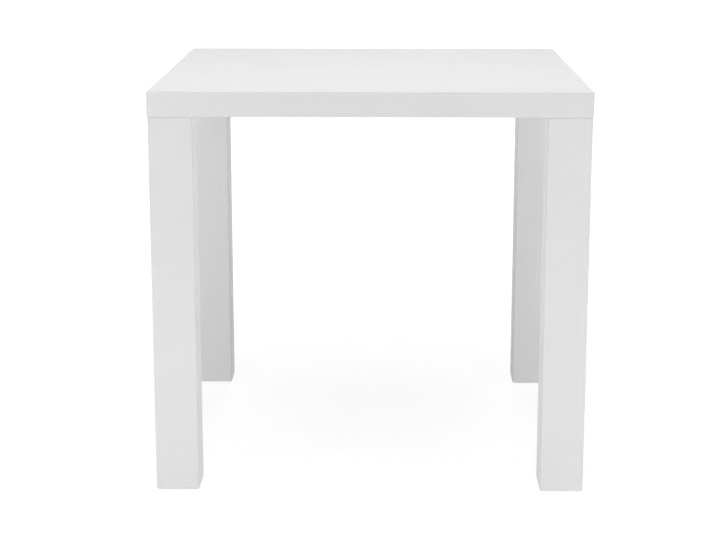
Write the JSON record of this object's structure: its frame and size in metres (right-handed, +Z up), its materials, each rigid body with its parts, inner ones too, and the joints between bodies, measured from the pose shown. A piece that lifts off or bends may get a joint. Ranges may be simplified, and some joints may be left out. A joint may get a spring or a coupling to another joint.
{
  "type": "parsons dining table",
  "caption": "Square dining table: a thick hollow slab top flush on square corner legs with no apron, leg plates bolted underneath and screw feet for levelling.",
  "frame": {"origin": "on the floor under the middle of the top", "axes": "+Z up, +X to the right seen from the front, the front of the table towards -Y"},
  "size_m": [0.8, 0.8, 0.75],
  "materials": {
    "white_lacquer": "smooth white lacquer on fibreboard, satin gloss",
    "backing_board": "matt white backing on fibreboard",
    "raw_board": "raw fibreboard and particle board",
    "kraft_paper": "brown kraft paper",
    "zinc_steel": "bright zinc plate",
    "nylon": "moulded black nylon"
  },
  "bodies": {
    "table": {"top_casing": "white_lacquer", "bottom_panel": "backing_board", "front_rail": "raw_board", "rear_rail": "raw_board", "left_rail": "raw_board", "right_rail": "raw_board", "honeycomb_core": "kraft_paper", "top_inserts": "zinc_steel", "foot_inserts": "zinc_steel", "leg_bolts": "zinc_steel", "bolt_washers": "zinc_steel", "plate_screws": "zinc_steel", "front_left_corner_block": "raw_board", "front_left_leg_casing": "white_lacquer", "front_left_leg_top_block": "raw_board", "front_left_leg_foot_block": "raw_board", "front_left_leg_plate": "zinc_steel", "front_right_corner_block": "raw_board", "front_right_leg_casing": "white_lacquer", "front_right_leg_top_block": "raw_board", "front_right_leg_foot_block": "raw_board", "front_right_leg_plate": "zinc_steel", "rear_right_corner_block": "raw_board", "rear_right_leg_casing": "white_lacquer", "rear_right_leg_top_block": "raw_board", "rear_right_leg_foot_block": "raw_board", "rear_right_leg_plate": "zinc_steel", "rear_left_corner_block": "raw_board", "rear_left_leg_casing": "white_lacquer", "rear_left_leg_top_block": "raw_board", "rear_left_leg_foot_block": "raw_board", "rear_left_leg_plate": "zinc_steel"},
    "front_left_foot_stem": {"front_left_foot_stem": "zinc_steel"},
    "front_left_foot_pad": {"front_left_foot_pad": "nylon"},
    "front_right_foot_stem": {"front_right_foot_stem": "zinc_steel"},
    "front_right_foot_pad": {"front_right_foot_pad": "nylon"},
    "rear_right_foot_stem": {"rear_right_foot_stem": "zinc_steel"},
    "rear_right_foot_pad": {"rear_right_foot_pad": "nylon"},
    "rear_left_foot_stem": {"rear_left_foot_stem": "zinc_steel"},
    "rear_left_foot_pad": {"rear_left_foot_pad": "nylon"}
  },
  "joints": [
    {"name": "front_left_foot_travel", "type": "slide", "parent": "table", "child": "front_left_foot_pad", "axis": [0, 0, -1], "range_m": [0, 0.01]},
    {"name": "front_left_foot_turn", "type": "hinge", "parent": "front_left_foot_pad", "child": "front_left_foot_stem", "pos_m": [-0.3585, -0.3585, 0.02], "axis": [0, 0, -1], "range_deg": [0, 2880]},
    {"name": "front_right_foot_travel", "type": "slide", "parent": "table", "child": "front_right_foot_pad", "axis": [0, 0, -1], "range_m": [0, 0.01]},
    {"name": "front_right_foot_turn", "type": "hinge", "parent": "front_right_foot_pad", "child": "front_right_foot_stem", "pos_m": [0.3585, -0.3585, 0.02], "axis": [0, 0, -1], "range_deg": [0, 2880]},
    {"name": "rear_right_foot_travel", "type": "slide", "parent": "table", "child": "rear_right_foot_pad", "axis": [0, 0, -1], "range_m": [0, 0.01]},
    {"name": "rear_right_foot_turn", "type": "hinge", "parent": "rear_right_foot_pad", "child": "rear_right_foot_stem", "pos_m": [0.3585, 0.3585, 0.02], "axis": [0, 0, -1], "range_deg": [0, 2880]},
    {"name": "rear_left_foot_travel", "type": "slide", "parent": "table", "child": "rear_left_foot_pad", "axis": [0, 0, -1], "range_m": [0, 0.01]},
    {"name": "rear_left_foot_turn", "type": "hinge", "parent": "rear_left_foot_pad", "child": "rear_left_foot_stem", "pos_m": [-0.3585, 0.3585, 0.02], "axis": [0, 0, -1], "range_deg": [0, 2880]}
  ],
  "couplings": [
    {"joint": "front_left_foot_turn", "follows": "front_left_foot_travel", "rad_per_m": 5026.5},
    {"joint": "front_right_foot_turn", "follows": "front_right_foot_travel", "rad_per_m": 5026.5},
    {"joint": "rear_right_foot_turn", "follows": "rear_right_foot_travel", "rad_per_m": 5026.5},
    {"joint": "rear_left_foot_turn", "follows": "rear_left_foot_travel", "rad_per_m": 5026.5}
  ]
}
